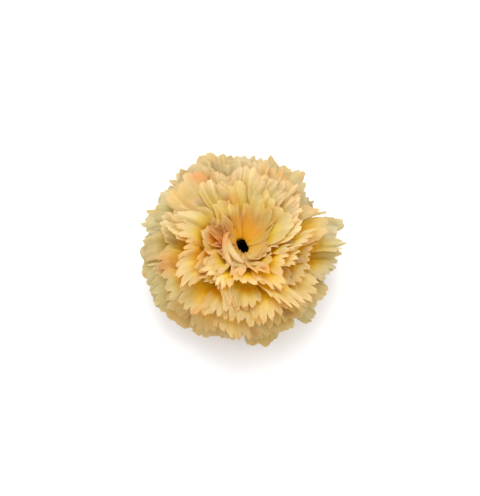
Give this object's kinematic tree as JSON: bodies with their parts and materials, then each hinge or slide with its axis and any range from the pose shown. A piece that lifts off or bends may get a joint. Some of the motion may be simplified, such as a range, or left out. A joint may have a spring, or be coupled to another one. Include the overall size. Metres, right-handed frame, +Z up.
{
  "type": "carnation flower head",
  "caption": "Round, peach-yellow carnation head of saw-edged, waved petals in nested tiers round a dark hollow peg, on a small flat calyx.",
  "frame": {"origin": "middle of the calyx's flat underside, which the head rests on", "axes": "+Z up along the peg, out of its open mouth; -Y is the side seen in the picture's foreground"},
  "size_m": [0.0581, 0.0588, 0.0304],
  "materials": {
    "petals": "matte",
    "calyx": "matte",
    "peg": "matte"
  },
  "bodies": {
    "root": {"calyx": "calyx", "peg": "peg", "petal_1_1": "petals", "petal_1_2": "petals", "petal_1_3": "petals", "petal_1_4": "petals", "petal_2_1": "petals", "petal_2_2": "petals", "petal_2_3": "petals", "petal_2_4": "petals", "petal_2_5": "petals", "petal_3_1": "petals", "petal_3_2": "petals", "petal_3_3": "petals", "petal_3_4": "petals", "petal_3_5": "petals", "petal_4_1": "petals", "petal_4_2": "petals", "petal_4_3": "petals", "petal_4_4": "petals", "petal_4_5": "petals", "petal_4_6": "petals", "petal_5_1": "petals", "petal_5_2": "petals", "petal_5_3": "petals", "petal_5_4": "petals", "petal_5_5": "petals", "petal_5_6": "petals", "petal_6_1": "petals", "petal_6_2": "petals", "petal_6_3": "petals", "petal_6_4": "petals", "petal_6_5": "petals", "petal_6_6": "petals", "petal_6_7": "petals", "petal_7_1": "petals", "petal_7_2": "petals", "petal_7_3": "petals", "petal_7_4": "petals", "petal_7_5": "petals", "petal_7_6": "petals", "petal_7_7": "petals", "petal_8_1": "petals", "petal_8_2": "petals", "petal_8_3": "petals", "petal_8_4": "petals", "petal_8_5": "petals", "petal_8_6": "petals", "petal_8_7": "petals", "petal_8_8": "petals"}
  },
  "joints": []
}
